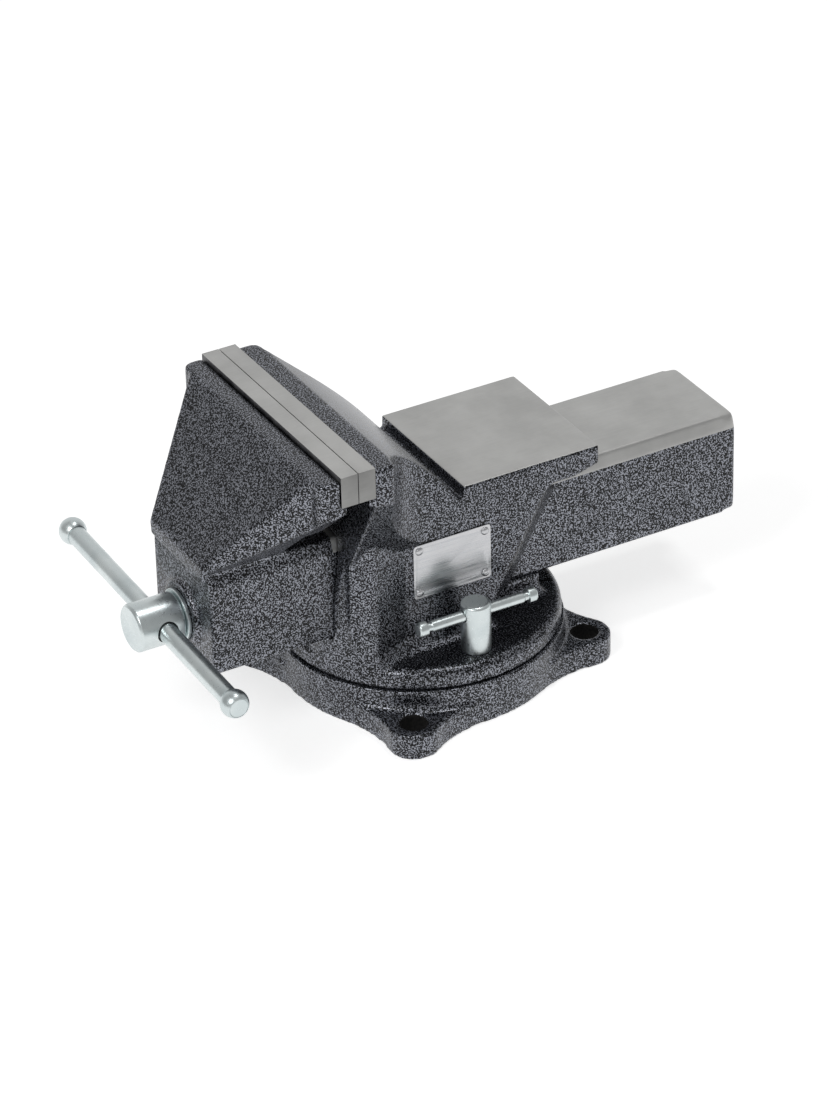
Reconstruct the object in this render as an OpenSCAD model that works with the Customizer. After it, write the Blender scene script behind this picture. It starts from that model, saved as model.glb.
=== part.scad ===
// Swivel bench vise with a box slide, a small anvil and two swivel locks.
// Frame: +X to the nameplate side, -Y to the handle, +Z up.
// The origin is on the swivel axis, at the level of the bench. Lengths are in millimetres.

/* [Jaws] */
// Width of the jaw plates
jaw_w = 150; // [130:1:170]
// Thickness of a jaw plate
plate_t = 9.6; // [7:0.1:13]
// Height of a jaw plate
plate_h = 17.5; // [14:0.1:20]
// Height of the plates' top edge above the slide's top
jaw_rise = 63.3; // [55:0.1:72]
// How far a plate stands above the casting behind it
plate_proud = 2.4; // [1:0.1:4]
// Distance from the swivel axis forward to the fixed plate's gripping face
grip_forward = 73.8; // [68:0.1:80]
// Space between the closed plates
jaw_gap = 0.4; // [0.2:0.1:1]
// Height of the cast head that carries a plate
head_h = 20.5; // [18:0.5:26]
// Depth of the fixed jaw's head behind its plate
fixed_head_d = 13; // [10:0.5:18]
// Depth of the moving jaw's head in front of its plate
moving_head_d = 12; // [11:0.5:18]
// Radius of the heads' round corners
head_round = 5; // [3:0.5:9]
// How far the ledge below a plate stands out from its seat
ledge_d = 3.5; // [2:0.5:5]
// Distance between the two screws of a jaw plate
jaw_screw_pitch = 90; // [60:1:100]
// Thread diameter of a jaw plate screw
jaw_screw_d = 8; // [6:1:10]
// Length of a jaw plate screw
jaw_screw_len = 19; // [16:0.5:21]
// How far the moving jaw opens
jaw_travel = 140; // [100:1:145]

/* [Slide] */
// Width of the slide
slide_w = 64.2; // [58:0.1:70]
// Width of the slide's machined top
slide_top_w = 58.4; // [52:0.1:57.9]
// Height of the slide
slide_h = 59.1; // [54:0.1:66]
// Height of the machined band along the slide's sides
slide_band_h = 8.2; // [5:0.1:12]
// Distance from the swivel axis back to the slide's rear end
slide_rear = 179.4; // [165:0.1:200]
// Thickness of the slide's roof
slide_roof_t = 14; // [9:0.5:16]
// Width of the channel in the slide
channel_w = 34; // [32:0.5:38]
// Thickness of the wall that the screw turns in
front_wall_t = 20; // [14:0.5:26]
// Room around the slide in its guide
slide_clear = 0.3; // [0.2:0.05:0.6]

/* [Moving jaw front] */
// Distance from the swivel axis forward to the front face
front_forward = 138; // [130:0.5:145]
// How far the ridge stands out over the front face
ridge_over = 3; // [1:0.5:5]
// Height of the ridge above the slide's top
ridge_rise = 4; // [2:0.5:8]
// Depth of the ridge below the slide's top
ridge_drop = 4; // [2:0.5:8]
// Width of the ridge
ridge_w = 58; // [48:0.5:58]
// Depth of the hollows beside the neck, under the moving jaw's head
hollow_d = 9; // [6:0.5:11]
// Width of the neck between the hollows
neck_w = 40; // [30:1:50]
// Distance from the moving head's lower edge down to the top of the hollows
hollow_down = 18.5; // [10:0.5:24]
// Distance from a jaw's end to the upper corner of the moving head's sloping front
fan_in = 9; // [6:0.5:20]
// Diameter of the boss around the screw
screw_boss_d = 36; // [32:0.5:40]
// Height of the boss around the screw
screw_boss_h = 2.5; // [1:0.5:4]

/* [Fixed jaw] */
// Width of the body
body_w = 88; // [84:0.5:100]
// How far the guide's front collar stands out from the body's sides
collar_flare = 7; // [3:0.5:9]
// Distance from the swivel axis forward to where the collar starts to stand out
collar_start = 32; // [25:0.5:40]
// Distance from the swivel axis forward to where the collar is widest
collar_full = 53; // [48:0.5:56]
// How far the foot of the front face stands before the swivel axis
foot_forward = 74; // [70:0.5:76]
// Thickness of the body's floor between the flange and the slide
guide_floor_t = 12.8; // [10:0.1:18]
// Depth below the slide's top where the front face turns upright
front_turn_drop = 3.1; // [0:0.1:10]
// Depth below the slide's top where the flared sides leave the body
body_flare_drop = 11.1; // [5:0.1:20]
// Height of the saddle between the head and the anvil above the slide's top
saddle_rise = 7.9; // [6:0.1:12]
// Distance from the swivel axis back to the top of the body's rear edge
body_rear_top = 57.4; // [52:0.5:62]
// Distance from the swivel axis back to the foot of the body's rear edge
body_rear_foot = 17; // [14:0.5:25]
// Distance from the swivel axis back to the rear end of the guide's floor
floor_rear = 56; // [45:0.5:60]
// Distance from the ramp's foot to the anvil
saddle_d = 2; // [1:0.5:6]
// How far the ramp behind the head bulges out
ramp_bulge = 3.7; // [1:0.1:5]
// Radius of the hollow curve from the body's side to the head
side_blend_r = 45; // [25:0.5:50]
// How far that curve runs into the head's rear face
side_blend_root = 5; // [5:0.5:8]

/* [Anvil] */
// Height of the anvil's face above the slide's top
anvil_rise = 15.2; // [13:0.1:20]
// Distance from the swivel axis back to the anvil's front edge
anvil_front = 4.1; // [0:0.1:10]
// Length of the anvil's face
anvil_len = 81.6; // [75:0.1:90]
// Height of the anvil's rear end face
anvil_end_h = 11; // [8:0.5:13]
// Length of the slanted underside at the anvil's rear
anvil_slant_len = 15; // [8:0.5:20]

/* [Swivel] */
// Height of the base
base_h = 25.5; // [23:0.1:28]
// Diameter of the base's round body
base_d = 155; // [150:0.5:164]
// Thickness of the base's outer wall beside the clamp slot
base_wall_t = 6; // [5:0.5:8]
// Room between the base and the turning flange
base_gap = 0.2; // [0.1:0.05:0.4]
// How far the turning flange stays inside the base's edge
flange_inset = 1.5; // [0.5:0.1:3]
// Thickness of the turning flange
flange_t = 11.2; // [9:0.1:13]
// Rounding of the flange's upper edge
flange_round = 5; // [2:0.5:7]
// Diameter of the pivot spigot under the flange
spigot_d = 60; // [56:0.5:64]
// Length of the pivot spigot
spigot_len = 19; // [16:0.5:21]
// Radial room around the pivot spigot
spigot_clear = 0.08; // [0.03:0.01:0.1]
// Thickness of the base's floor
base_floor_t = 6; // [4:0.5:7]
// Thickness of the lips over the clamp slot
slot_lip_t = 7; // [6:0.5:9]
// Width of the clamp slot between its lips
slot_mouth_w = 13; // [12.6:0.1:14]
// Width of the clamp slot below its lips
slot_w = 21; // [19:0.5:21]

/* [Lugs] */
// Number of bench bolts
lug_count = 4; // [3:1:4]
// Turn of the first lug from the +X side
lug_turn = -31.5; // [-45:0.5:45]
// Diameter of the bench bolt circle
bolt_circle_d = 176; // [170:0.5:190]
// Diameter of a bench bolt hole
bolt_hole_d = 14.5; // [10:0.5:16]
// Thickness of a lug
lug_t = 14.3; // [10:0.1:18]
// Radius of a lug's round end
lug_r = 14; // [13:0.5:20]
// Radius of the hollow curve from a lug to the base
lug_blend_r = 30; // [15:0.5:40]
// How deep a hollow curve runs into the shapes that it joins
blend_root = 0.6; // [0.4:0.1:1]

/* [Screw] */
// Height of the screw's axis above the slide's underside
screw_rise = 21.5; // [20:0.1:24]
// Diameter of the lead screw
screw_d = 20; // [18:0.5:21]
// Diameter of the screw's head
screw_head_d = 26; // [25:0.5:30]
// Length of the screw's head
screw_head_len = 26.3; // [22:0.1:30]
// Bevel of the head's edges
screw_head_bevel = 1.2; // [0.5:0.1:2]
// Radial room around the turning screw
screw_clear = 0.1; // [0.04:0.01:0.1]
// Thickness of the thrust washer
washer_t = 2; // [1:0.1:3]
// Diameter of the thrust washer
washer_d = 32; // [28:0.5:36]
// End play of the screw in the front wall
end_play = 0.2; // [0.1:0.05:0.4]
// Length of the retaining collar
collar_len = 12; // [10:0.5:16]
// Diameter of the retaining collar
collar_d = 30; // [27:0.5:31]
// Diameter of the collar's pin
collar_pin_d = 5; // [3:0.5:6]

/* [Nut] */
// Length of the nut
nut_len = 46; // [40:0.5:56]
// Distance from the swivel axis back to the nut's rear end
nut_rear = 13; // [8:0.5:13]
// Width of the nut
nut_w = 31; // [28:0.5:31]
// Thread diameter of the nut's bolts
nut_bolt_d = 8; // [6:1:8]
// Distance between the nut's bolts
nut_bolt_pitch = 20; // [18:0.5:21]
// Thickness of a bolt's head
nut_bolt_head_t = 5.3; // [4:0.1:7]
// Width across the corners of a bolt's head
nut_bolt_head_d = 14.4; // [12:0.1:15]
// Room around a bolt's head for a socket
nut_bolt_room = 1; // [0.5:0.1:1.5]
// How far a bolt reaches into the nut
nut_bolt_reach = 9; // [7:0.5:9]
// Thickness of the body under the slide that a bolt's head bears on
nut_seat_t = 16; // [12:0.5:20]

/* [Handle] */
// Length of the handle over its knobs
handle_len = 193; // [170:1:230]
// Diameter of the handle bar
handle_d = 10.5; // [9:0.1:12]
// Diameter of a knob
knob_d = 15; // [14:0.1:18]
// Length of a knob
knob_len = 10; // [8:0.1:10.4]
// How far the bar is pushed through the head
handle_shift = -6.3; // [-20:0.1:20]
// Tilt of the bar from level
handle_tilt = 2; // [-10:0.5:10]
// Distance from the head's front face back to the bar
handle_back = 15.3; // [12:0.1:15.5]
// Room around a bar that slides in a cross bore
bar_clear = 0.35; // [0.1:0.05:0.6]
// Room between pieces that are fixed together
fixed_clear = 0.04; // [0.02:0.01:0.08]

/* [Locks] */
// Diameter of a lock's head
lock_head_d = 16.2; // [15:0.1:18]
// Height of a lock's head
lock_head_h = 28.7; // [24:0.1:34]
// Bevel of the head's top edge
lock_bevel = 1; // [0.5:0.1:2]
// Thread diameter of a lock
lock_d = 11; // [10:0.5:11]
// Room around a lock's thread in the flange
lock_hole_clear = 0.3; // [0.2:0.05:0.6]
// Length of a lock's bar
lock_bar_len = 70.5; // [60:0.5:80]
// Diameter of a lock's bar
lock_bar_d = 6; // [5:0.1:7]
// Diameter of the upset ends of a lock's bar
lock_end_d = 7.6; // [7.2:0.1:9]
// Length of an upset end
lock_end_len = 5; // [3:0.1:7]
// How far a lock's bar is pushed through its head
lock_bar_shift = 0.7; // [-8:0.1:8]
// Distance from a head's top down to its bar
lock_bar_down = 6.8; // [5:0.1:9]
// Arc of the ring that a clamp nut covers, in degrees
clamp_arc = 26; // [20:1:40]
// Thickness of a clamp nut below the lips
clamp_t = 9; // [7:0.1:10]
// Room around a clamp nut in its slot
clamp_clear = 0.3; // [0.2:0.05:0.5]

/* [Nameplate] */
// Length of the nameplate
name_len = 46; // [36:0.5:50]
// Height of the nameplate
name_h = 32; // [24:0.5:36]
// Thickness of the nameplate
name_t = 0.8; // [0.5:0.1:1.5]
// Corner radius of the nameplate
name_r = 2; // [1:0.5:4]
// Height of the nameplate's centre above the flange
name_rise = 45.3; // [40:0.1:48]
// Distance from the swivel axis forward to the nameplate's centre
name_forward = 4; // [0:0.5:10]
// Distance from the plate's edges to its rivets
rivet_inset = 3.4; // [3:0.1:5]
// Diameter of a rivet's shank
rivet_d = 2.2; // [1.5:0.1:2.5]
// Diameter of a rivet's head
rivet_head_d = 4; // [3:0.1:5]
// Height of a rivet's head
rivet_head_h = 1; // [0.6:0.1:1.6]
// Depth of a rivet's shank in the body
rivet_depth = 5; // [3:0.5:7]

/* [Hidden] */
$fn = 96;
cut_over = 1;

// Swivel
flange_d = base_d - 2 * flange_inset;
lock_offset = base_d / 2 - base_wall_t - slot_w / 2;
flange_z = base_h + base_gap;
flange_top_z = flange_z + flange_t;
spigot_z = flange_z - spigot_len;
slot_top_z = base_h - slot_lip_t;
lug_inner_r = (base_d - base_wall_t) / 2;
// Slide
guide_floor_z = flange_top_z + guide_floor_t;
slide_bottom_z = guide_floor_z + slide_clear;
slide_top_z = slide_bottom_z + slide_h;
band_z = slide_top_z - slide_band_h;
channel_top_z = slide_top_z - slide_roof_t;
front_y = -front_forward;
wall_rear_y = front_y + front_wall_t;
// Jaws
jaw_top_z = slide_top_z + jaw_rise;
strip_z = jaw_top_z - plate_proud;
head_z = strip_z - head_h;
plate_z = jaw_top_z - plate_h;
fixed_seat_y = -grip_forward + plate_t;
moving_grip_y = -grip_forward - jaw_gap;
moving_seat_y = moving_grip_y - plate_t;
fixed_back_y = fixed_seat_y + fixed_head_d;
moving_front_y = moving_seat_y - moving_head_d;
ledge_z = plate_z - fixed_clear;
jaw_screw_z = plate_z + plate_h / 2;
jaw_screw_head_d = 2 * jaw_screw_d;
jaw_screw_sink = jaw_screw_d / 2;
hollow_top_z = head_z - hollow_down;
// Fixed jaw
front_turn_z = slide_top_z - front_turn_drop;
body_flare_z = slide_top_z - body_flare_drop;
saddle_z = slide_top_z + saddle_rise;
// Anvil
anvil_z = slide_top_z + anvil_rise;
anvil_rear = anvil_front + anvil_len;
anvil_under_z = slide_top_z + slide_clear;
// Screw and handle
screw_z = slide_bottom_z + screw_rise;
boss_y = front_y - screw_boss_h;
washer_y = boss_y - end_play;
head_rear_y = washer_y - washer_t;
head_front_y = head_rear_y - screw_head_len;
handle_y = head_front_y + handle_back;
collar_y = wall_rear_y + end_play;
screw_rear_y = nut_rear + jaw_travel;
// Nut
nut_y = nut_rear - nut_len / 2;
nut_seat_z = guide_floor_z - nut_seat_t;
nut_bolt_pocket_d = nut_bolt_head_d + 2 * nut_bolt_room;
// Locks
lock_bar_z = flange_top_z + lock_head_h - lock_bar_down;
clamp_top_z = slot_top_z - clamp_clear;
clamp_z = clamp_top_z - clamp_t;
lock_tip_z = clamp_z;
clamp_key_z = base_h - 2 * base_gap;
// Nameplate
name_x = body_w / 2;
name_z = flange_top_z + name_rise;

paint = [0.21, 0.22, 0.25];
ground_steel = [0.60, 0.60, 0.59];
zinc = [0.74, 0.77, 0.77];
plain_steel = [0.45, 0.46, 0.47];
bronze = [0.55, 0.42, 0.24];
bright_aluminium = [0.80, 0.81, 0.82];

// Draws an outline of x and z along the y axis
module along_y(front, rear) {
    translate([0, rear, 0])
        rotate([90, 0, 0])
            linear_extrude(rear - front)
                children();
}

// Draws an outline of y and z across the x axis
module across_x(half) {
    translate([-half, 0, 0])
        rotate([90, 0, 90])
            linear_extrude(2 * half)
                children();
}

// A round bar along y, between two places on the screw's axis
module screw_round(d, front, rear) {
    translate([0, rear, screw_z])
        rotate([90, 0, 0])
            cylinder(d = d, h = rear - front);
}

// A block between two x, y and z places
module block(low, high) {
    translate(low)
        cube(high - low);
}

// The slide's cross-section, grown for its guide
module slide_outline(grow) {
    side = slide_w / 2 + grow;
    top_side = slide_top_w / 2 + grow;
    polygon([
        [-side, slide_bottom_z - grow], [side, slide_bottom_z - grow], [side, band_z],
        [top_side, slide_top_z + grow], [-top_side, slide_top_z + grow], [-side, band_z]
    ]);
}

// A jaw's head from above, from its seat to a back edge with round corners
module head_plan(seat_y, back_y) {
    side = jaw_w / 2;
    turn = seat_y < back_y ? 1 : -1;
    round_x = side - head_round;
    round_y = back_y - turn * head_round;
    polygon([[-side, seat_y], [side, seat_y], [side, round_y], [-side, round_y]]);
    polygon([[-round_x, seat_y], [round_x, seat_y], [round_x, back_y], [-round_x, back_y]]);
    for (end = [-1, 1])
        translate([end * round_x, round_y])
            circle(head_round);
}

// A jaw's head from the front, flared down to the shape below it
module head_front(half, foot_z, flare_z) {
    side = jaw_w / 2;
    polygon([
        [-half, foot_z], [half, foot_z], [half, flare_z], [side, head_z], [side, strip_z],
        [-side, strip_z], [-side, head_z], [-half, flare_z]
    ]);
}

// The ledge that a jaw plate stands on
module ledge(seat_y, into) {
    front_edge = seat_y - into * ledge_d;
    root = seat_y + into * cut_over;
    block(
        [-jaw_w / 2, min(front_edge, root), head_z + blend_root],
        [jaw_w / 2, max(front_edge, root), ledge_z]
    );
}

// The two countersunk screws of a jaw plate, grown for their holes
module jaw_screw_pair(grip_y, into, grow) {
    for (side = [-1, 1])
        translate([side * jaw_screw_pitch / 2, grip_y, jaw_screw_z])
            rotate([-90 * into, 0, 0]) {
                cylinder(d = jaw_screw_d + 2 * grow, h = jaw_screw_len + grow);
                cylinder(
                    d1 = jaw_screw_head_d + 2 * grow, d2 = jaw_screw_d + 2 * grow, h = jaw_screw_sink
                );
            }
}

// A jaw plate, from its gripping face towards the casting behind it
module jaw_plate(grip_y, into) {
    seat_y = grip_y + into * plate_t;
    difference() {
        block(
            [-jaw_w / 2, min(grip_y, seat_y), plate_z], [jaw_w / 2, max(grip_y, seat_y), jaw_top_z]
        );
        jaw_screw_pair(grip_y, into, fixed_clear);
    }
}

// The bolts that hold the nut from below, grown for their holes
module nut_bolts(grow, head_d, head_h) {
    for (side = [-1, 1])
        translate([0, nut_y + side * nut_bolt_pitch / 2, nut_seat_z]) {
            cylinder(d = nut_bolt_d + 2 * grow, h = nut_seat_t + nut_bolt_reach + grow);
            translate([0, 0, -head_h])
                cylinder(d = head_d, h = head_h, $fn = grow > 0 ? $fn : 6);
        }
}

// The handle's axis, tilted about the screw
module on_handle() {
    translate([0, handle_y, screw_z])
        rotate([0, 90 + handle_tilt, 0])
            children();
}

// The lock's axis, on the near side or the far side
module at_lock(side) {
    translate([side * lock_offset, 0, 0])
        children();
}

// The nameplate's rivet places, with z pointing out of the body
module at_rivets() {
    for (along = [-1, 1], up = [-1, 1])
        translate([
            name_x, along * (name_len / 2 - rivet_inset) - name_forward,
            name_z + up * (name_h / 2 - rivet_inset)
        ])
            rotate([0, 90, 0])
                children();
}

// Swivel base: round body, clamp slot and bench lugs

// A round end, joined to the base by hollow curves that run a little way into both
module lug() {
    center = bolt_circle_d / 2;
    base_r = base_d / 2 - blend_root;
    end_r = lug_r - blend_root;
    to_base = base_r + lug_blend_r;
    to_end = end_r + lug_blend_r;
    blend_x = (to_base * to_base - to_end * to_end + center * center) / (2 * center);
    blend_y = sqrt(to_base * to_base - blend_x * blend_x);
    base_share = base_r / to_base;
    end_share = end_r / to_end;
    end_x = center + (blend_x - center) * end_share;
    linear_extrude(lug_t) {
        difference() {
            polygon([
                [0, 0], [blend_x * base_share, -blend_y * base_share], [blend_x, -blend_y],
                [end_x, -blend_y * end_share], [end_x, blend_y * end_share], [blend_x, blend_y],
                [blend_x * base_share, blend_y * base_share]
            ]);
            for (side = [-1, 1])
                translate([blend_x, side * blend_y])
                    circle(lug_blend_r);
        }
        translate([center, 0])
            circle(lug_r);
    }
}

module slot_outline(width, low, high) {
    translate([lock_offset - width / 2, low])
        square([width, high - low]);
}

module base_round() {
    pivot_r = spigot_d / 2 + spigot_clear;
    rotate_extrude()
        difference() {
            translate([pivot_r, 0])
                square([base_d / 2 - pivot_r, base_h]);
            slot_outline(slot_w, base_floor_t, slot_top_z);
            slot_outline(slot_mouth_w, slot_top_z - cut_over, base_h + cut_over);
        }
}

module clamp_entry() {
    rotate([0, 0, lug_turn + 3 * 180 / lug_count - clamp_arc])
        rotate_extrude(angle = 2 * clamp_arc)
            slot_outline(slot_w - clamp_clear, slot_top_z - cut_over, base_h + cut_over);
}

module swivel_base() {
    color(paint)
        difference() {
            union() {
                base_round();
                for (i = [0 : lug_count - 1])
                    rotate([0, 0, lug_turn + i * 360 / lug_count])
                        difference() {
                            lug();
                            translate([0, 0, -cut_over])
                                cylinder(r = lug_inner_r, h = lug_t + 2 * cut_over);
                        }
            }
            for (i = [0 : lug_count - 1])
                rotate([0, 0, lug_turn + i * 360 / lug_count])
                    translate([bolt_circle_d / 2, 0, -cut_over])
                        cylinder(d = bolt_hole_d, h = lug_t + 2 * cut_over);
            clamp_entry();
        }
}

// Fixed jaw: flange, body, anvil and jaw head in one casting

module flange() {
    inner = flange_d / 2 - flange_round;
    translate([0, 0, flange_z])
        rotate_extrude() {
            square([inner, flange_t]);
            square([flange_d / 2, flange_t - flange_round]);
            translate([inner, flange_t - flange_round])
                circle(flange_round);
        }
    translate([0, 0, spigot_z])
        cylinder(d = spigot_d, h = spigot_len + flange_t / 2);
}

// The body seen from above, with the guide's collar at its front
module body_plan() {
    half = body_w / 2;
    wide = half + collar_flare;
    polygon([
        [-half, anvil_rear], [-half, -collar_start], [-wide, -collar_full], [-wide, -flange_d],
        [wide, -flange_d], [wide, -collar_full], [half, -collar_start], [half, anvil_rear]
    ]);
}

module body_block() {
    intersection() {
        linear_extrude(anvil_z)
            body_plan();
        across_x(body_w / 2 + collar_flare)
            polygon([
                [-foot_forward, flange_z], [fixed_seat_y, front_turn_z], [fixed_seat_y, saddle_z],
                [anvil_front + cut_over, saddle_z], [body_rear_top, anvil_under_z],
                [body_rear_foot, flange_top_z], [body_rear_foot, flange_z]
            ]);
        translate([0, 0, flange_z])
            cylinder(d = flange_d, h = saddle_z);
    }
}

// The guide's floor, which runs back under the slide behind the body
module guide_floor() {
    start_y = body_rear_foot - cut_over;
    translate([-slide_w / 2, start_y, flange_top_z - cut_over])
        cube([slide_w, floor_rear - start_y, guide_floor_t + 2 * cut_over]);
}

module anvil() {
    across_x(body_w / 2)
        polygon([
            [anvil_front, anvil_under_z], [anvil_front, anvil_z], [anvil_rear, anvil_z],
            [anvil_rear, anvil_z - anvil_end_h], [anvil_rear - anvil_slant_len, anvil_under_z]
        ]);
}

// The head from above, with hollow curves to the body's sides
module fixed_head_plan() {
    half = body_w / 2;
    head_plan(fixed_seat_y, fixed_back_y);
    polygon([
        [-half, fixed_seat_y], [half, fixed_seat_y], [half, anvil_front + cut_over],
        [-half, anvil_front + cut_over]
    ]);
    for (side = [0, 1])
        mirror([side, 0])
            difference() {
                translate([half - cut_over, fixed_back_y - cut_over])
                    square([jaw_w / 2 - half, side_blend_r]);
                translate([
                    half + side_blend_r - blend_root, fixed_back_y + side_blend_r - side_blend_root
                ])
                    circle(side_blend_r);
            }
}

// The head from the side, with the bulging ramp from its back edge to the anvil's foot
module fixed_head_side() {
    ramp_y = fixed_back_y - blend_root;
    run = anvil_front - saddle_d - ramp_y;
    drop = strip_z - saddle_z;
    chord = norm([run, drop]);
    ramp_r = chord * chord / (8 * ramp_bulge) + ramp_bulge / 2;
    inward = (ramp_r - ramp_bulge) / chord;
    intersection() {
        translate([fixed_seat_y, slide_bottom_z])
            square([anvil_front + cut_over - fixed_seat_y, strip_z - slide_bottom_z]);
        translate([
            ramp_y + run / 2 - drop * inward, saddle_z + drop / 2 - run * inward
        ])
            circle(ramp_r, $fn = 4 * $fn);
    }
}

module fixed_head() {
    intersection() {
        linear_extrude(strip_z)
            fixed_head_plan();
        along_y(fixed_seat_y, anvil_front + cut_over)
            head_front(body_w / 2, slide_bottom_z, body_flare_z);
        across_x(jaw_w / 2)
            fixed_head_side();
    }
    ledge(fixed_seat_y, 1);
}

module fixed_jaw_casting() {
    color(paint)
        difference() {
            union() {
                flange();
                body_block();
                guide_floor();
                anvil();
                fixed_head();
            }
            along_y(-foot_forward - flange_d, anvil_rear + cut_over)
                slide_outline(slide_clear);
            for (side = [-1, 1])
                at_lock(side)
                    translate([0, 0, flange_z - cut_over])
                        cylinder(d = lock_d + 2 * lock_hole_clear, h = flange_t + 2 * cut_over);
            nut_bolts(fixed_clear, nut_bolt_pocket_d, nut_seat_z);
            jaw_screw_pair(-grip_forward, 1, fixed_clear);
            at_rivets()
                translate([0, 0, -rivet_depth])
                    cylinder(d = rivet_d, h = rivet_depth + cut_over);
        }
}

module rear_jaw_plate() {
    color(ground_steel)
        jaw_plate(-grip_forward, 1);
}

module rear_jaw_screws() {
    color(plain_steel)
        jaw_screw_pair(-grip_forward, 1, 0);
}

// Lead nut: a block on the guide's floor that stands in the slide's channel

module lead_nut() {
    color(bronze)
        difference() {
            union() {
                block(
                    [-nut_w / 2, nut_rear - nut_len, guide_floor_z], [nut_w / 2, nut_rear, screw_z]
                );
                screw_round(nut_w, nut_rear - nut_len, nut_rear);
            }
            screw_round(
                screw_d + 2 * screw_clear, nut_rear - nut_len - cut_over, nut_rear + cut_over
            );
            nut_bolts(fixed_clear, nut_bolt_pocket_d, cut_over);
        }
}

module lead_nut_bolts() {
    color(plain_steel)
        nut_bolts(0, nut_bolt_head_d, nut_bolt_head_t);
}

module nameplate() {
    color(bright_aluminium)
        difference() {
            translate([name_x, -name_forward, name_z])
                rotate([90, 0, 90])
                    linear_extrude(name_t)
                        union() {
                            square([name_len - 2 * name_r, name_h], center = true);
                            square([name_len, name_h - 2 * name_r], center = true);
                            for (along = [-1, 1], up = [-1, 1])
                                translate([
                                    along * (name_len / 2 - name_r), up * (name_h / 2 - name_r)
                                ])
                                    circle(name_r);
                        }
            at_rivets()
                translate([0, 0, -cut_over])
                    cylinder(d = rivet_d + 2 * fixed_clear, h = name_t + 2 * cut_over);
        }
}

module nameplate_rivets() {
    shank_len = rivet_depth - fixed_clear;
    color(bright_aluminium)
        at_rivets() {
            translate([0, 0, -shank_len])
                cylinder(d = rivet_d - 2 * fixed_clear, h = shank_len + name_t);
            translate([0, 0, name_t])
                cylinder(d1 = rivet_head_d, d2 = rivet_head_d / 2, h = rivet_head_h);
        }
}

// Clamp nut: a piece of ring that hangs under the slot's lips on its lock
module clamp_nut(side) {
    mouth = slot_mouth_w - 2 * clamp_clear;
    width = slot_w - 2 * clamp_clear;
    color(plain_steel)
        difference() {
            rotate([0, 0, (side > 0 ? 0 : 180) - clamp_arc / 2])
                rotate_extrude(angle = clamp_arc) {
                    slot_outline(width, clamp_z, clamp_top_z);
                    slot_outline(mouth, clamp_z, clamp_key_z);
                }
            at_lock(side)
                translate([0, 0, clamp_z - cut_over])
                    cylinder(d = lock_d + 2 * screw_clear, h = base_h);
        }
}

module clamp_nut_near() {
    clamp_nut(1);
}

module clamp_nut_far() {
    clamp_nut(-1);
}

// Moving jaw: slide, front wall and jaw head in one casting

// The head and the sloping front from above, with hollow curves between them
module moving_head_plan() {
    half = ridge_w / 2;
    ridge_y = front_y - ridge_over;
    fan_half = jaw_w / 2 - fan_in;
    fan_y = moving_front_y + blend_root;
    head_plan(moving_seat_y, moving_front_y);
    polygon([
        [-half, ridge_y], [half, ridge_y], [fan_half, fan_y], [fan_half, moving_seat_y],
        [-fan_half, moving_seat_y], [-fan_half, fan_y]
    ]);
}

// The head from the side, with the sloping front and the hollow below the head
module moving_head_side() {
    ridge_y = front_y - ridge_over;
    ridge_foot_z = slide_top_z - ridge_drop;
    hollow_y = moving_seat_y - hollow_d;
    polygon([
        [hollow_y, ridge_foot_z], [ridge_y, ridge_foot_z], [ridge_y, slide_top_z + ridge_rise],
        [moving_front_y, strip_z], [moving_seat_y, strip_z], [moving_seat_y, hollow_top_z],
        [hollow_y, hollow_top_z]
    ]);
}

module moving_head() {
    intersection() {
        linear_extrude(strip_z)
            moving_head_plan();
        along_y(front_y - ridge_over, moving_seat_y)
            head_front(ridge_w / 2, slide_top_z - ridge_drop, slide_top_z);
        across_x(jaw_w / 2)
            moving_head_side();
    }
    ledge(moving_seat_y, -1);
}

module moving_neck() {
    block(
        [-slide_w / 2, front_y, slide_bottom_z], [slide_w / 2, moving_seat_y, band_z]
    );
    block(
        [-neck_w / 2, moving_seat_y - hollow_d - cut_over, band_z],
        [neck_w / 2, moving_seat_y, head_z]
    );
}

module movable_jaw_casting() {
    color(paint)
        difference() {
            union() {
                along_y(front_y, slide_rear)
                    slide_outline(0);
                moving_neck();
                moving_head();
                screw_round(screw_boss_d, boss_y, front_y + cut_over);
            }
            block(
                [-channel_w / 2, wall_rear_y, slide_bottom_z - cut_over],
                [channel_w / 2, slide_rear + cut_over, channel_top_z]
            );
            screw_round(screw_d + 2 * screw_clear, boss_y - cut_over, wall_rear_y + cut_over);
            jaw_screw_pair(moving_grip_y, -1, fixed_clear);
        }
}

module front_jaw_plate() {
    color(ground_steel)
        jaw_plate(moving_grip_y, -1);
}

module front_jaw_screws() {
    color(plain_steel)
        jaw_screw_pair(moving_grip_y, -1, 0);
}

// Lead screw with its washer, collar and pin

module screw_head() {
    half = screw_head_d / 2;
    bevel = screw_head_bevel;
    translate([0, head_rear_y, screw_z])
        rotate([90, 0, 0])
            rotate_extrude()
                polygon([
                    [0, 0], [half - bevel, 0], [half, bevel], [half, screw_head_len - bevel],
                    [half - bevel, screw_head_len], [0, screw_head_len]
                ]);
}

module collar_pin_bore(d) {
    translate([0, collar_y + collar_len / 2, screw_z - collar_d / 2 - cut_over])
        cylinder(d = d, h = collar_d + 2 * cut_over);
}

module lead_screw() {
    color(zinc)
        difference() {
            union() {
                screw_head();
                screw_round(screw_d, head_rear_y - cut_over, screw_rear_y);
            }
            on_handle()
                cylinder(d = handle_d + 2 * bar_clear, h = 2 * screw_head_d, center = true);
            collar_pin_bore(collar_pin_d + 2 * fixed_clear);
        }
}

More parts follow.
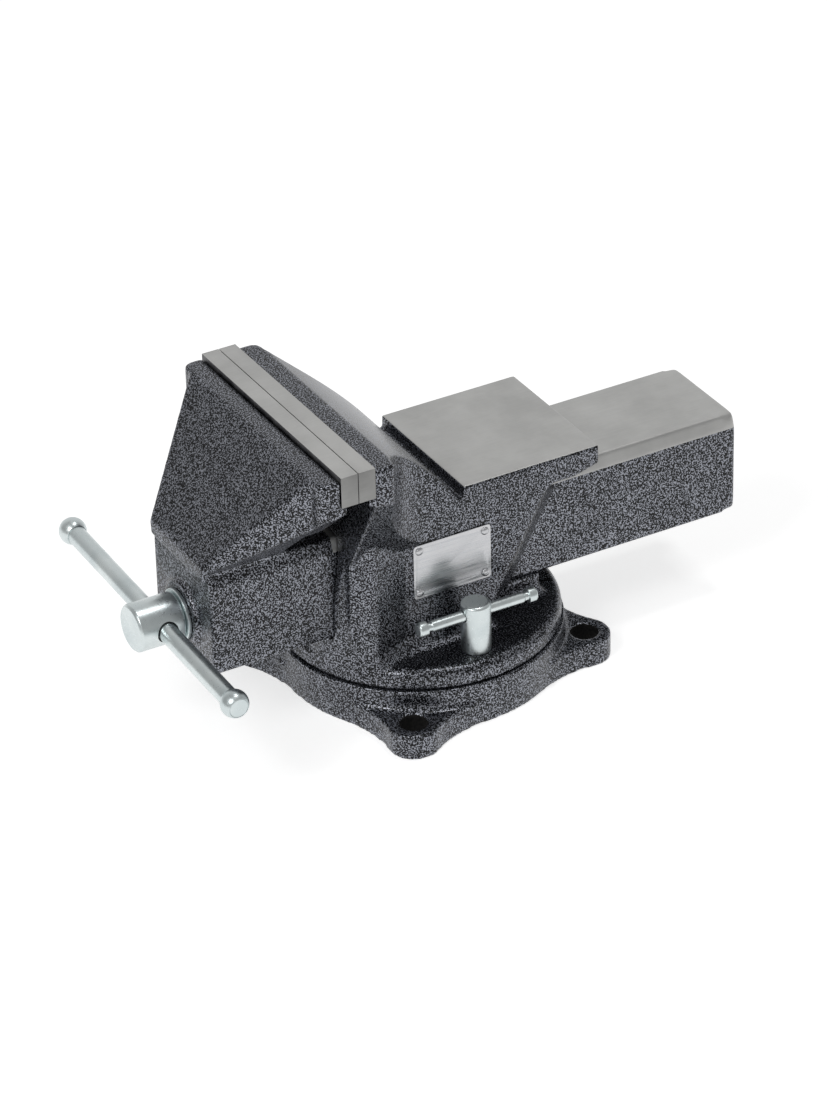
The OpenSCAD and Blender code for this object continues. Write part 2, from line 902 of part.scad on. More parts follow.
module thrust_washer() {
    color(zinc)
        difference() {
            screw_round(washer_d, washer_y - washer_t, washer_y);
            screw_round(
                screw_d + 2 * fixed_clear, washer_y - washer_t - cut_over, washer_y + cut_over
            );
        }
}

module retaining_collar() {
    color(plain_steel)
        difference() {
            screw_round(collar_d, collar_y, collar_y + collar_len);
            screw_round(
                screw_d + 2 * fixed_clear, collar_y - cut_over, collar_y + collar_len + cut_over
            );
            collar_pin_bore(collar_pin_d + 2 * fixed_clear);
        }
}

module collar_pin() {
    pin_len = collar_d - 2 * fixed_clear;
    color(plain_steel)
        translate([0, collar_y + collar_len / 2, screw_z - pin_len / 2])
            cylinder(d = collar_pin_d, h = pin_len);
}

// Handle: a bar that slides in the screw's head, with a knob on each end

module handle_bar() {
    color(zinc)
        on_handle()
            translate([0, 0, handle_shift - handle_len / 2])
                cylinder(d = handle_d, h = handle_len);
}

module handle_knob(side) {
    color(zinc)
        on_handle()
            translate([0, 0, handle_shift + side * (handle_len - knob_len) / 2])
                difference() {
                    intersection() {
                        sphere(d = knob_d);
                        cylinder(d = knob_d + cut_over, h = knob_len, center = true);
                    }
                    cylinder(d = handle_d + 2 * fixed_clear, h = knob_len + cut_over, center = true);
                }
}

module handle_knob_near() {
    handle_knob(1);
}

module handle_knob_far() {
    handle_knob(-1);
}

// Swivel locks: a tall round head with a sliding bar, and a thread down to the clamp nut

module lock_screw(side) {
    half = lock_head_d / 2;
    color(zinc)
        at_lock(side)
            difference() {
                union() {
                    translate([0, 0, flange_top_z])
                        rotate_extrude()
                            polygon([
                                [0, 0], [half, 0], [half, lock_head_h - lock_bevel],
                                [half - lock_bevel, lock_head_h], [0, lock_head_h]
                            ]);
                    translate([0, 0, lock_tip_z])
                        cylinder(d = lock_d, h = flange_top_z - lock_tip_z + cut_over);
                }
                translate([0, 0, lock_bar_z])
                    rotate([90, 0, 0])
                        cylinder(d = lock_bar_d + 2 * bar_clear, h = 2 * lock_head_d, center = true);
            }
}

module lock_bar(side) {
    end_at = (lock_bar_len - lock_end_len) / 2;
    color(zinc)
        at_lock(side)
            translate([0, lock_bar_shift, lock_bar_z])
                rotate([90, 0, 0]) {
                    cylinder(d = lock_bar_d, h = lock_bar_len, center = true);
                    for (end = [-1, 1])
                        translate([0, 0, end * end_at])
                            cylinder(d = lock_end_d, h = lock_end_len, center = true, $fn = 8);
                }
}

module lock_screw_near() {
    lock_screw(1);
}

module lock_screw_far() {
    lock_screw(-1);
}

module lock_bar_near() {
    lock_bar(1);
}

module lock_bar_far() {
    lock_bar(-1);
}

swivel_base();
fixed_jaw_casting();
rear_jaw_plate();
rear_jaw_screws();
lead_nut();
lead_nut_bolts();
nameplate();
nameplate_rivets();
clamp_nut_near();
clamp_nut_far();
movable_jaw_casting();
front_jaw_plate();
front_jaw_screws();
lead_screw();
thrust_washer();
retaining_collar();
collar_pin();
handle_bar();
handle_knob_near();
handle_knob_far();
lock_screw_near();
lock_screw_far();
lock_bar_near();
lock_bar_far();
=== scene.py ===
import math

import bmesh
import bpy
import numpy as np
from mathutils import Matrix, Vector


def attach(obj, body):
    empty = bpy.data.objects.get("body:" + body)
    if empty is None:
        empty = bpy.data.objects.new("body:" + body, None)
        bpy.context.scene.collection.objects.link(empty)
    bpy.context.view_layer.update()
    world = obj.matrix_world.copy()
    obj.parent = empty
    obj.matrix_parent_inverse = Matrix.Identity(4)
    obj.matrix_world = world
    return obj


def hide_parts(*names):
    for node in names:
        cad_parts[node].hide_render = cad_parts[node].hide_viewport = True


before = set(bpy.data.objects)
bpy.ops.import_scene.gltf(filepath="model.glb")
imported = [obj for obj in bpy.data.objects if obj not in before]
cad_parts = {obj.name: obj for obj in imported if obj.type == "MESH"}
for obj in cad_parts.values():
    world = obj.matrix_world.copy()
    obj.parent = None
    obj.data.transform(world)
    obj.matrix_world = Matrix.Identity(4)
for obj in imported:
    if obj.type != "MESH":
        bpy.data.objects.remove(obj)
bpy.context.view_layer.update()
mm = 0.001


# Camera
# A long lens, in front of the nameplate side and above the jaws. The photograph
# leans a little to one side, so the camera does too.
camera_azimuth = math.radians(61.13)
camera_height = math.radians(31.54)
camera_lean = math.radians(-1.42)
camera_distance = 2516.24 * mm
camera_target = Vector((0.0, -1.99 * mm, 64.16 * mm))
focal_length_px = 4769.17
photo_height_px = 1104
sensor_mm = 36.0
camera_reach = 20.0

toward_camera = Vector((
    math.sin(camera_azimuth) * math.cos(camera_height),
    -math.cos(camera_azimuth) * math.cos(camera_height),
    math.sin(camera_height),
))
level_right = Vector((math.cos(camera_azimuth), math.sin(camera_azimuth), 0.0))
level_up = toward_camera.cross(level_right)
lean_right = level_right * math.cos(camera_lean) + level_up * math.sin(camera_lean)
lean_up = level_up * math.cos(camera_lean) - level_right * math.sin(camera_lean)

camera_data = bpy.data.cameras.new("camera")
camera_data.sensor_width = sensor_mm
camera_data.lens = focal_length_px * sensor_mm / photo_height_px
camera_data.clip_end = camera_reach
camera = bpy.data.objects.new("camera", camera_data)
camera.matrix_world = (
    Matrix.Translation(camera_target + toward_camera * camera_distance)
    @ Matrix((lean_right, lean_up, toward_camera)).transposed().to_4x4()
)
bpy.context.scene.collection.objects.link(camera)
bpy.context.scene.camera = camera


# Studio
# A white floor and a white backdrop behind the vise, which enamel and bare metal
# mirror, in a dimmer room. A soft key lamp stands on the handle's side, and a
# small lamp overhead picks out the edges.
floor_half = 4.0
floor_drop = 0.1 * mm
floor_glow = 0.7
paper_white = (0.86, 0.86, 0.86, 1.0)
full_white = (1.0, 1.0, 1.0, 1.0)
room_glow = 0.2
room_share = 0.4
backdrop_glow = 1.0
backdrop_side = (-0.88, 0.48, 0.0)
backdrop_edge = 0.3
backdrop_core = 0.75


def add_node(tree, kind, inputs=None, **settings):
    """Adds a shader node, with its own settings and its unlinked inputs."""
    node = tree.nodes.new(kind)
    for name, value in settings.items():
        setattr(node, name, value)
    for name, value in (inputs or {}).items():
        node.inputs[name].default_value = value
    return node


def new_object(name, mesh):
    piece = bpy.data.objects.new(name, mesh)
    bpy.context.scene.collection.objects.link(piece)
    return piece


def combined(tree, operation, first, second):
    """Two values in one, such as their product or the larger one."""
    node = add_node(tree, "ShaderNodeMath", operation=operation)
    tree.links.new(first, node.inputs[0])
    tree.links.new(second, node.inputs[1])
    return node.outputs[0]


def seen_and_mirrored(tree):
    """Whether a ray comes from the camera, and whether it comes by way of metal or glass."""
    path = add_node(tree, "ShaderNodeLightPath").outputs
    mirrored = combined(tree, "MAXIMUM", path["Is Glossy Ray"], path["Is Transmission Ray"])
    return path["Is Camera Ray"], mirrored


floor_mesh = bpy.data.meshes.new("studio_floor")
floor_mesh.from_pydata(
    [(x, y, -floor_drop) for x, y in (
        (-floor_half, -floor_half), (floor_half, -floor_half),
        (floor_half, floor_half), (-floor_half, floor_half),
    )],
    [],
    [(0, 1, 2, 3)],
)
floor = new_object("studio_floor", floor_mesh)
paper = bpy.data.materials.new("studio_paper")
paper.use_nodes = True
paper_tree = paper.node_tree
paper_shader = paper_tree.nodes["Principled BSDF"]
paper_shader.inputs["Base Color"].default_value = paper_white
paper_shader.inputs["Roughness"].default_value = 0.9
paper_shader.inputs["Specular IOR Level"].default_value = 0.1
paper_share = add_node(paper_tree, "ShaderNodeMath", {1: floor_glow}, operation="MULTIPLY")
paper_shader.inputs["Emission Color"].default_value = full_white
paper_seen = combined(paper_tree, "MAXIMUM", *seen_and_mirrored(paper_tree))
paper_tree.links.new(paper_seen, paper_share.inputs[0])
paper_tree.links.new(paper_share.outputs[0], paper_shader.inputs["Emission Strength"])
floor_mesh.materials.append(paper)

world = bpy.data.worlds.new("studio_room")
world.use_nodes = True
bpy.context.scene.world = world
room_tree = world.node_tree
room_light = room_tree.nodes["Background"]
room_light.inputs["Color"].default_value = full_white
room_light.inputs["Strength"].default_value = room_glow
room_white = add_node(room_tree, "ShaderNodeBackground", {"Strength": backdrop_glow})
room_mix = add_node(room_tree, "ShaderNodeMixShader")
room_place = add_node(room_tree, "ShaderNodeTexCoord")
room_turn = add_node(
    room_tree, "ShaderNodeVectorMath", {1: backdrop_side}, operation="DOT_PRODUCT"
)
room_fall = add_node(
    room_tree, "ShaderNodeMapRange",
    {
        "From Min": backdrop_edge, "From Max": backdrop_core,
        "To Min": room_share, "To Max": 1.0,
    },
)
room_tree.links.new(room_place.outputs["Generated"], room_turn.inputs[0])
room_tree.links.new(room_turn.outputs["Value"], room_fall.inputs["Value"])
room_seen, room_mirrored = seen_and_mirrored(room_tree)
room_shown = combined(room_tree, "MULTIPLY", room_mirrored, room_fall.outputs["Result"])
room_tree.links.new(
    combined(room_tree, "MAXIMUM", room_seen, room_shown), room_mix.inputs["Fac"]
)
room_tree.links.new(room_light.outputs["Background"], room_mix.inputs[1])
room_tree.links.new(room_white.outputs["Background"], room_mix.inputs[2])
room_tree.links.new(
    room_mix.outputs["Shader"], room_tree.nodes["World Output"].inputs["Surface"]
)
bpy.context.scene.view_settings.view_transform = "Standard"

for lamp_name, lamp_place, lamp_size, lamp_power in (
    ("key_lamp", (0.70, -1.50, 1.60), 0.8, 13.0),
    ("overhead_lamp", (0.00, 0.40, 2.20), 0.4, 6.5),
):
    lamp_data = bpy.data.lights.new(lamp_name, "AREA")
    lamp_data.size = lamp_size
    lamp_data.energy = lamp_power
    lamp = bpy.data.objects.new(lamp_name, lamp_data)
    lamp.location = lamp_place
    lamp.rotation_euler = (
        (camera_target - Vector(lamp_place)).to_track_quat("-Z", "Y").to_euler()
    )
    bpy.context.scene.collection.objects.link(lamp)


# Swivel base
# A grey iron casting, sand cast and sprayed with hammered enamel. Four lugs take
# the bench bolts, and the turning flange of the fixed jaw stands on its rim.
base_r = 77.5 * mm
lug_top_z = 14.3 * mm
lug_count = 4
lug_turn = math.radians(-31.5)
lug_reach = math.radians(24.0)
lug_fillet = 2.5 * mm
lug_center_r = 88.0 * mm
lug_end_r = 14.0 * mm
lug_blend_r = 50.0 * mm
base_foot_r = 75.5 * mm
bolt_room_r = 9.5 * mm
bolt_hole_r = 7.25 * mm
hole_wall_room = 0.4 * mm
lug_fade = math.radians(20.0)
lug_clear = math.radians(14.0)
base_h = 25.5 * mm
# How far a slanting face looks along one axis, from 0 for edge on to 1 for square on
slanting = 0.5


def surface_place(tree, scale=(1.0, 1.0, 1.0)):
    """The place on the piece, stretched so that a finish can run along one axis."""
    place = add_node(tree, "ShaderNodeTexCoord")
    stretch = add_node(tree, "ShaderNodeMapping", {"Scale": scale})
    tree.links.new(place.outputs["Object"], stretch.inputs["Vector"])
    return stretch.outputs["Vector"]


def cloud(tree, vector, scale, detail=2.0, roughness=0.5, distortion=0.0):
    """A noise pattern of the given size."""
    noise = add_node(
        tree, "ShaderNodeTexNoise",
        {"Scale": scale, "Detail": detail, "Roughness": roughness, "Distortion": distortion},
    )
    tree.links.new(vector, noise.inputs["Vector"])
    return noise.outputs["Fac"]


def tones(tree, value, stops):
    """Turns a pattern into colours, between two stops of place and colour."""
    ramp_node = add_node(tree, "ShaderNodeValToRGB")
    for element, (position, colour) in zip(ramp_node.color_ramp.elements, stops):
        element.position = position
        element.color = (*colour, 1.0)
    tree.links.new(value, ramp_node.inputs["Fac"])
    return ramp_node.outputs["Color"]


def spread(tree, value, low, high, start=0.3, end=0.7):
    """Turns a pattern into a range of plain values."""
    bounds_node = add_node(
        tree, "ShaderNodeMapRange",
        {"From Min": start, "From Max": end, "To Min": low, "To Max": high},
    )
    tree.links.new(value, bounds_node.inputs["Value"])
    return bounds_node.outputs["Result"]


def relief(tree, value, strength, depth):
    """Makes a pattern stand out from the surface."""
    bump = add_node(tree, "ShaderNodeBump", {"Strength": strength, "Distance": depth})
    tree.links.new(value, bump.inputs["Height"])
    return bump.outputs["Normal"]


def new_finish(name, metallic):
    material = bpy.data.materials.new(name)
    material.use_nodes = True
    shader = material.node_tree.nodes["Principled BSDF"]
    shader.inputs["Metallic"].default_value = metallic
    return material, material.node_tree, shader


def hammered_enamel(name, worm_edge):
    """Charcoal enamel that draws into silver worms as it dries, fewer with a higher edge."""
    worms_per_metre = 1300.0
    patches_per_metre = 40.0
    worm_core = worm_edge + 0.07
    material, tree, shader = new_finish(name, 0.0)
    place = surface_place(tree)
    worms = cloud(tree, place, worms_per_metre, detail=0.5, distortion=0.4)
    patches = cloud(tree, place, patches_per_metre)
    enamel_tones = tones(tree, worms, (
        (worm_edge, (0.003, 0.0034, 0.005)), (worm_core, (0.36, 0.375, 0.42)),
    ))
    shade = add_node(
        tree, "ShaderNodeMix", {"Factor": 0.3}, data_type="RGBA", blend_type="MULTIPLY"
    )
    tree.links.new(enamel_tones, shade.inputs["A"])
    tree.links.new(patches, shade.inputs["B"])
    tree.links.new(shade.outputs["Result"], shader.inputs["Base Color"])
    shader.inputs["Specular IOR Level"].default_value = 0.22
    silver = spread(tree, worms, 0.0, 1.0, worm_edge, worm_core)
    tree.links.new(silver, shader.inputs["Metallic"])
    tree.links.new(spread(tree, silver, 0.22, 0.42, 0.0, 1.0), shader.inputs["Roughness"])
    tree.links.new(relief(tree, worms, 0.25, 0.1 * mm), shader.inputs["Normal"])
    return material


def bake_modifiers(piece):
    """Turns a piece and its modifiers into one plain mesh."""
    graph = bpy.context.evaluated_depsgraph_get()
    baked = bpy.data.meshes.new_from_object(piece.evaluated_get(graph))
    rough = piece.data
    piece.modifiers.clear()
    piece.data = baked
    bpy.data.meshes.remove(rough)


def corner_places(mesh):
    points = np.empty(len(mesh.vertices) * 3)
    mesh.vertices.foreach_get("co", points)
    return points.reshape(-1, 3)


def nothing_machined(points):
    return np.zeros(len(points))


def soften(mesh, passes, machined=nothing_machined):
    """Rounds edges and corners as sand casting does, but for the machined places."""
    pace = 0.5
    count = len(mesh.vertices)
    points = corner_places(mesh)
    edges = np.empty(len(mesh.edges) * 2, dtype=np.int64)
    mesh.edges.foreach_get("vertices", edges)
    edges = edges.reshape(-1, 2)
    ends = np.concatenate((edges[:, 0], edges[:, 1]))
    others = np.concatenate((edges[:, 1], edges[:, 0]))
    neighbours = np.bincount(ends, minlength=count)
    free = pace * (1.0 - machined(points))[:, None]
    for _ in range(passes):
        total = np.stack([
            np.bincount(ends, weights=points[others, i], minlength=count) for i in range(3)
        ], axis=1)
        points += free * (total / neighbours[:, None] - points)
    mesh.vertices.foreach_set("co", points.ravel())
    mesh.update()


def fillet_along(path, foot_z, size):
    """The corners and faces of a hollow fillet that follows the foot of a wall."""
    sunk = 1.5 * mm
    lip = 0.1 * size
    hollow = 0.35 * size
    section = (
        (-sunk, -sunk), (size, -sunk), (size, lip), (hollow, hollow), (lip, size), (-sunk, size),
    )
    corners = [
        (x + out_x * out, y + out_y * out, foot_z + up)
        for x, y, out_x, out_y in path
        for out, up in section
    ]
    round_count = len(section)
    faces = [
        (
            step * round_count + i, step * round_count + (i + 1) % round_count,
            (step + 1) * round_count + (i + 1) % round_count, (step + 1) * round_count + i,
        )
        for step in range(len(path) - 1)
        for i in range(round_count)
    ]
    last = (len(path) - 1) * round_count
    faces.append(tuple(reversed(range(round_count))))
    faces.append(tuple(last + i for i in range(round_count)))
    return corners, faces


def cast_piece(name, node, passes, fillets=()):
    """A sand casting, made from its solid and the fillets at the feet of its walls."""
    weld = 0.001 * mm
    sand_grain = 0.9 * mm
    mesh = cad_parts[node].data.copy()
    mesh.materials.clear()
    piece = new_object(name, mesh)
    shape = bmesh.new()
    shape.from_mesh(mesh)
    for corners, faces in fillets:
        points = [shape.verts.new(corner) for corner in corners]
        for face in faces:
            shape.faces.new([points[i] for i in face])
    bmesh.ops.remove_doubles(shape, verts=shape.verts, dist=weld)
    shape.to_mesh(mesh)
    shape.free()
    mould = piece.modifiers.new("sand_mould", "REMESH")
    mould.mode = "VOXEL"
    mould.voxel_size = sand_grain
    bake_modifiers(piece)
    soften(piece.data, passes)
    piece.data.shade_smooth()
    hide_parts(node)
    return piece


def lug_arc(lug):
    """The foot of the base's wall above one lug."""
    middle = lug_turn + lug * 2.0 * math.pi / lug_count
    steps = 10
    turns = [middle + lug_reach * (2.0 * i / steps - 1.0) for i in range(steps + 1)]
    return [
        (base_r * math.cos(turn), base_r * math.sin(turn), math.cos(turn), math.sin(turn))
        for turn in turns
    ]


def lug_flank(lug, side):
    """The wide hollow curve between the base's wall and one flank of a lug."""
    turn = lug_turn + lug * 2.0 * math.pi / lug_count
    to_wall = base_r + lug_blend_r
    to_end = lug_end_r + lug_blend_r
    middle_u = (to_wall ** 2 - to_end ** 2 + lug_center_r ** 2) / (2.0 * lug_center_r)
    middle_v = math.sqrt(to_wall ** 2 - middle_u ** 2)
    first = math.atan2(-middle_v, lug_center_r - middle_u)
    last = math.atan2(-middle_v, -middle_u)
    steps = 12
    outline = [
        (
            middle_u + lug_blend_r * math.cos(first + (last - first) * i / steps),
            middle_v + lug_blend_r * math.sin(first + (last - first) * i / steps),
        )
        for i in range(steps + 1)
    ]
    root_u = 0.8 * base_r
    outline += [(root_u, bolt_room_r), (outline[0][0], bolt_room_r)]
    count = len(outline)
    corners = [
        (
            u * math.cos(turn) - side * v * math.sin(turn),
            u * math.sin(turn) + side * v * math.cos(turn),
            z,
        )
        for z in (0.0, lug_top_z)
        for u, v in outline
    ]
    faces = [(i, (i + 1) % count, count + (i + 1) % count, count + i) for i in range(count)]
    faces += [tuple(range(count)), tuple(range(count, 2 * count))]
    return corners, faces


def from_lugs(points):
    """The angle from the nearest lug, and the distance from the nearest bolt hole."""
    turns = np.arctan2(points[:, 1], points[:, 0]) - lug_turn
    quarter = 2.0 * math.pi / lug_count
    away = np.abs((turns + 0.5 * quarter) % quarter - 0.5 * quarter)
    radius = np.hypot(points[:, 0], points[:, 1])
    across = radius * np.sin(away)
    along = radius * np.cos(away) - lug_center_r
    return away, np.hypot(along, across)


def draw_in_foot(mesh):
    """Leans the base's round wall in towards the bench, between the lugs."""
    points = corner_places(mesh)
    radius = np.hypot(points[:, 0], points[:, 1])
    lean_start = 0.92
    inner_r = lean_start * base_foot_r
    outward = np.clip((radius - inner_r) / (base_r - inner_r), 0.0, 1.0)
    clear = np.clip((from_lugs(points)[0] - lug_clear) / lug_fade, 0.0, 1.0)
    clear = clear * clear * (3.0 - 2.0 * clear)
    lean = (base_r - base_foot_r) * outward * clear * (1.0 - points[:, 2] / base_h)
    points[:, :2] *= (1.0 - lean / np.maximum(radius, inner_r))[:, None]
    mesh.vertices.foreach_set("co", points.ravel())
    mesh.update()


def hole_shade_iron():
    """Near-black iron on the walls of the bolt holes, painted shade, with a faint mottle."""
    material, tree, shader = new_finish("hole_shade_iron", 0.0)
    shade_mottle = cloud(tree, surface_place(tree), 500.0)
    colour = tones(tree, shade_mottle, ((0.35, (0.006, 0.006, 0.006)), (0.65, (0.02, 0.019, 0.018))))
    tree.links.new(colour, shader.inputs["Base Color"])
    shader.inputs["Roughness"].default_value = 0.75
    shader.inputs["Specular IOR Level"].default_value = 0.15
    return material


def face_places(mesh):
    """The centre and the outward direction of every face."""
    centres = np.empty(len(mesh.polygons) * 3)
    mesh.polygons.foreach_get("center", centres)
    normals = np.empty(len(mesh.polygons) * 3)
    mesh.polygons.foreach_get("normal", normals)
    return centres.reshape(-1, 3), normals.reshape(-1, 3)


def finish_faces(piece, materials, choice):
    """Gives each face of a piece one of its finishes, by number."""
    piece.data.materials.clear()
    for material in materials:
        piece.data.materials.append(material)
    piece.data.polygons.foreach_set("material_index", choice.astype(np.int32))
    piece.data.update()


enamel = hammered_enamel("hammered_enamel", worm_edge=0.51)
lug_fillets = [
    fillet_along(lug_arc(lug), lug_top_z, lug_fillet) for lug in range(lug_count)
]
lug_flanks = [lug_flank(lug, side) for lug in range(lug_count) for side in (-1.0, 1.0)]
swivel_base = cast_piece(
    "swivel_base_casting", "swivel_base", passes=3, fillets=lug_fillets + lug_flanks
)
draw_in_foot(swivel_base.data)
base_centres, base_normals = face_places(swivel_base.data)
# The walls of the bolt holes are painted near black as painted shade.
bolt_hole_shade = (
    (from_lugs(base_centres)[1] < bolt_hole_r + hole_wall_room)
    & (np.abs(base_normals[:, 2]) < slanting)
)
finish_faces(swivel_base, (enamel, hole_shade_iron()), bolt_hole_shade)
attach(swivel_base, "base")


# Fixed jaw
# One iron casting: turning flange, guide, anvil and jaw head. The flange's top and
# the rear ends of the walls get enamel with fewer silver worms as painted shade, and
# the anvil's face is ground bare after it.
flange_top_z = 36.9 * mm
flange_skin = 0.5 * mm
body_half = 44.0 * mm
body_fillet = 6.0 * mm
collar_half = 51.0 * mm
collar_tip_y = -55.0 * mm
collar_full_y = -53.0 * mm
collar_start_y = -32.0 * mm
anvil_z = 124.3 * mm
anvil_under_z = 109.4 * mm
anvil_front_y = 4.1 * mm
anvil_skin = 0.6 * mm
anvil_edge = 1.0 * mm
rear_top_y = 57.4 * mm
rear_foot_y = 17.0 * mm
rear_taper = 14.5 * mm
rear_cut = 2.5 * mm
rear_depth = 25.0 * mm
rear_fade = 4.0 * mm
guide_half = 32.4 * mm
guide_floor_h = 12.8 * mm
guide_floor_half = 32.1 * mm
guide_floor_rear_y = 56.0 * mm
guide_floor_fillet = 4.0 * mm
# How far faces look along one axis, as above
facing = 0.7
square_on = 0.9
rearward = 0.3


def ground_steel(name, dull, bright):
    """Ground grey metal, matte, with a fine lay and faint oil stains."""
    material, tree, shader = new_finish(name, 1.0)
    lay = cloud(tree, surface_place(tree, (2600.0, 90.0, 2600.0)), 1.0, 3.0)
    stains = cloud(tree, surface_place(tree), 38.0, 4.0, 0.6)
    colour = tones(tree, stains, (
        (0.30, (dull, dull, 0.98 * dull)), (0.70, (bright, bright, 0.98 * bright)),
    ))
    tree.links.new(colour, shader.inputs["Base Color"])
    tree.links.new(spread(tree, lay, 0.40, 0.54), shader.inputs["Roughness"])
    tree.links.new(relief(tree, lay, 0.08, 0.05 * mm), shader.inputs["Normal"])
    return material


def taper_rear_walls(mesh):
    """Slopes the slanting rear ends of the body's side walls down to the slide."""
    points = corner_places(mesh)
    rise = anvil_under_z - flange_top_z
    run = rear_top_y - rear_foot_y
    slant = math.hypot(run, rise)
    height = points[:, 2] - flange_top_z
    inside = (height * run - (points[:, 1] - rear_foot_y) * rise) / slant
    inward = (body_half - np.abs(points[:, 0])) / (body_half - guide_half)
    reach = (rear_taper * inward - rear_cut) * np.clip(3.0 - 2.0 * inward, 0.0, 1.0)
    reach *= np.clip(1.0 - inside / rear_depth, 0.0, 1.0)
    reach *= np.clip((height - guide_floor_h) / rear_fade, 0.0, 1.0)
    reach *= np.clip((rise - height) / rear_fade, 0.0, 1.0)
    points[:, 1] += reach * rise / slant
    points[:, 2] -= reach * run / slant
    mesh.vertices.foreach_set("co", points.ravel())
    mesh.update()


def on_both_sides(near_path):
    """A path along the near side of the jaw, led back along the far side."""
    far_path = [(-x, y, -out_x, out_y) for x, y, out_x, out_y in reversed(near_path)]
    return near_path + far_path


body_foot = on_both_sides([
    (collar_half, collar_tip_y, 0.1, 0.0), (collar_half, collar_full_y, 0.35, 0.05),
    (body_half, collar_start_y, 1.0, 0.15), (body_half, rear_foot_y, 0.8, 0.8),
])
guide_floor_foot = on_both_sides([
    (guide_floor_half, rear_foot_y, 1.0, 0.0), (guide_floor_half, guide_floor_rear_y, 0.8, 0.8),
])
bare_steel = ground_steel("ground_steel", dull=0.45, bright=0.53)
fixed_jaw = cast_piece(
    "fixed_jaw_body", "fixed_jaw_casting", passes=6,
    fillets=[
        fillet_along(body_foot, flange_top_z, body_fillet),
        fillet_along(guide_floor_foot, flange_top_z, guide_floor_fillet),
    ],
)
taper_rear_walls(fixed_jaw.data)
jaw_centres, jaw_normals = face_places(fixed_jaw.data)
anvil_face = (
    (np.abs(jaw_centres[:, 2] - anvil_z) < anvil_skin)
    & (jaw_centres[:, 1] > anvil_front_y - anvil_edge)
    & (jaw_normals[:, 2] > facing)
)
# The flange's top and the rear ends of the walls are picked out for painted shade.
flange_shade = (
    (np.abs(jaw_centres[:, 2] - flange_top_z) < flange_skin) & (jaw_normals[:, 2] > square_on)
)
wall_end_shade = (
    (jaw_normals[:, 1] > rearward)
    & (np.abs(jaw_centres[:, 0]) > guide_half)
    & (jaw_centres[:, 1] > rear_foot_y)
    & (jaw_centres[:, 2] > flange_top_z + rear_fade)
    & (jaw_centres[:, 2] < anvil_under_z)
)
# A darker enamel with fewer silver worms, painted shade on the flange's top and the wall ends.
shade_enamel = hammered_enamel("painted_shade_hammered_enamel", worm_edge=0.575)
finish_faces(
    fixed_jaw, (enamel, bare_steel, shade_enamel),
    np.where(anvil_face, 1, 2 * (flange_shade | wall_end_shade)),
)
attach(fixed_jaw, "fixed_jaw")


# Moving jaw
# One iron casting: box slide, front wall and jaw head. The slide's top and the
# upper edge of its sides are machined, because they run in the fixed jaw's guide.
slide_top_z = 109.1 * mm
slide_band_z = 100.9 * mm
slide_start_y = -67.0 * mm
slide_end_y = 179.4 * mm
slide_end_round = 8.0 * mm
slide_skin = 1.0 * mm
slide_band_x = 27.0 * mm


def before_slide_end(points):
    """All but the rear end of the slide, which is cast with a larger round."""
    return (points[:, 1] < slide_end_y - slide_end_round).astype(float)


moving_jaw = cast_piece("moving_jaw_body", "movable_jaw_casting", passes=6)
soften(moving_jaw.data, passes=40, machined=before_slide_end)
slide_centres, slide_normals = face_places(moving_jaw.data)
slide_bare = (
    (slide_centres[:, 1] > slide_start_y)
    & (slide_centres[:, 2] > slide_band_z)
    & (slide_centres[:, 2] < slide_top_z + slide_skin)
    & ((np.abs(slide_centres[:, 0]) > slide_band_x) | (slide_normals[:, 2] > slanting))
    & (slide_normals[:, 1] < facing)
)
finish_faces(moving_jaw, (enamel, bare_steel), slide_bare)
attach(moving_jaw, "movable_jaw")


# Jaw plates and their screws
# Hardened steel bars, ground on top and on the grip, duller at the sawn ends. The faces behind
# them and the grip's broken edges are painted dark as painted shade. Two countersunk screws hold
# each one, sunk below the gripping face.
grip_y = -74.0 * mm
grip_ease = 0.55 * mm
plate_screw_ease = 0.2 * mm


def eased_copy(name, node, width, body, material):
    """A milled piece, with its sharp edges broken by a small bevel."""
    weld = 0.002 * mm
    flat_angle = math.radians(0.5)
    broken_angle = math.radians(35.0)
    sharp_angle = math.radians(32.0)
    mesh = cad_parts[node].data.copy()
    mesh.materials.clear()
    mesh.materials.append(material)
    piece = new_object(name, mesh)
    shape = bmesh.new()
    shape.from_mesh(mesh)
    bmesh.ops.remove_doubles(shape, verts=shape.verts, dist=weld)
    bmesh.ops.dissolve_limit(
        shape, angle_limit=flat_angle, verts=shape.verts, edges=shape.edges
    )
    shape.to_mesh(mesh)
    shape.free()
    bevel = piece.modifiers.new("broken_edges", "BEVEL")
    bevel.width = width
    bevel.segments = 3
    bevel.limit_method = "ANGLE"
    bevel.angle_limit = broken_angle
    bake_modifiers(piece)
    piece.data.shade_smooth()
    piece.data.set_sharp_from_angle(angle=sharp_angle)
    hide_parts(node)
    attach(piece, body)
    return piece


def oiled_steel_and_shade():
    """Oiled steel, darker than the ground faces, and painted shade behind the jaw plates and
    along their grip edges.
    """
    material, tree, shader = new_finish("oiled_steel_and_shade", 1.0)
    oil = cloud(tree, surface_place(tree), 160.0, 3.0)
    colour = tones(tree, oil, ((0.30, (0.07, 0.07, 0.075)), (0.70, (0.16, 0.16, 0.165))))
    tree.links.new(colour, shader.inputs["Base Color"])
    tree.links.new(spread(tree, oil, 0.30, 0.48), shader.inputs["Roughness"])
    return material


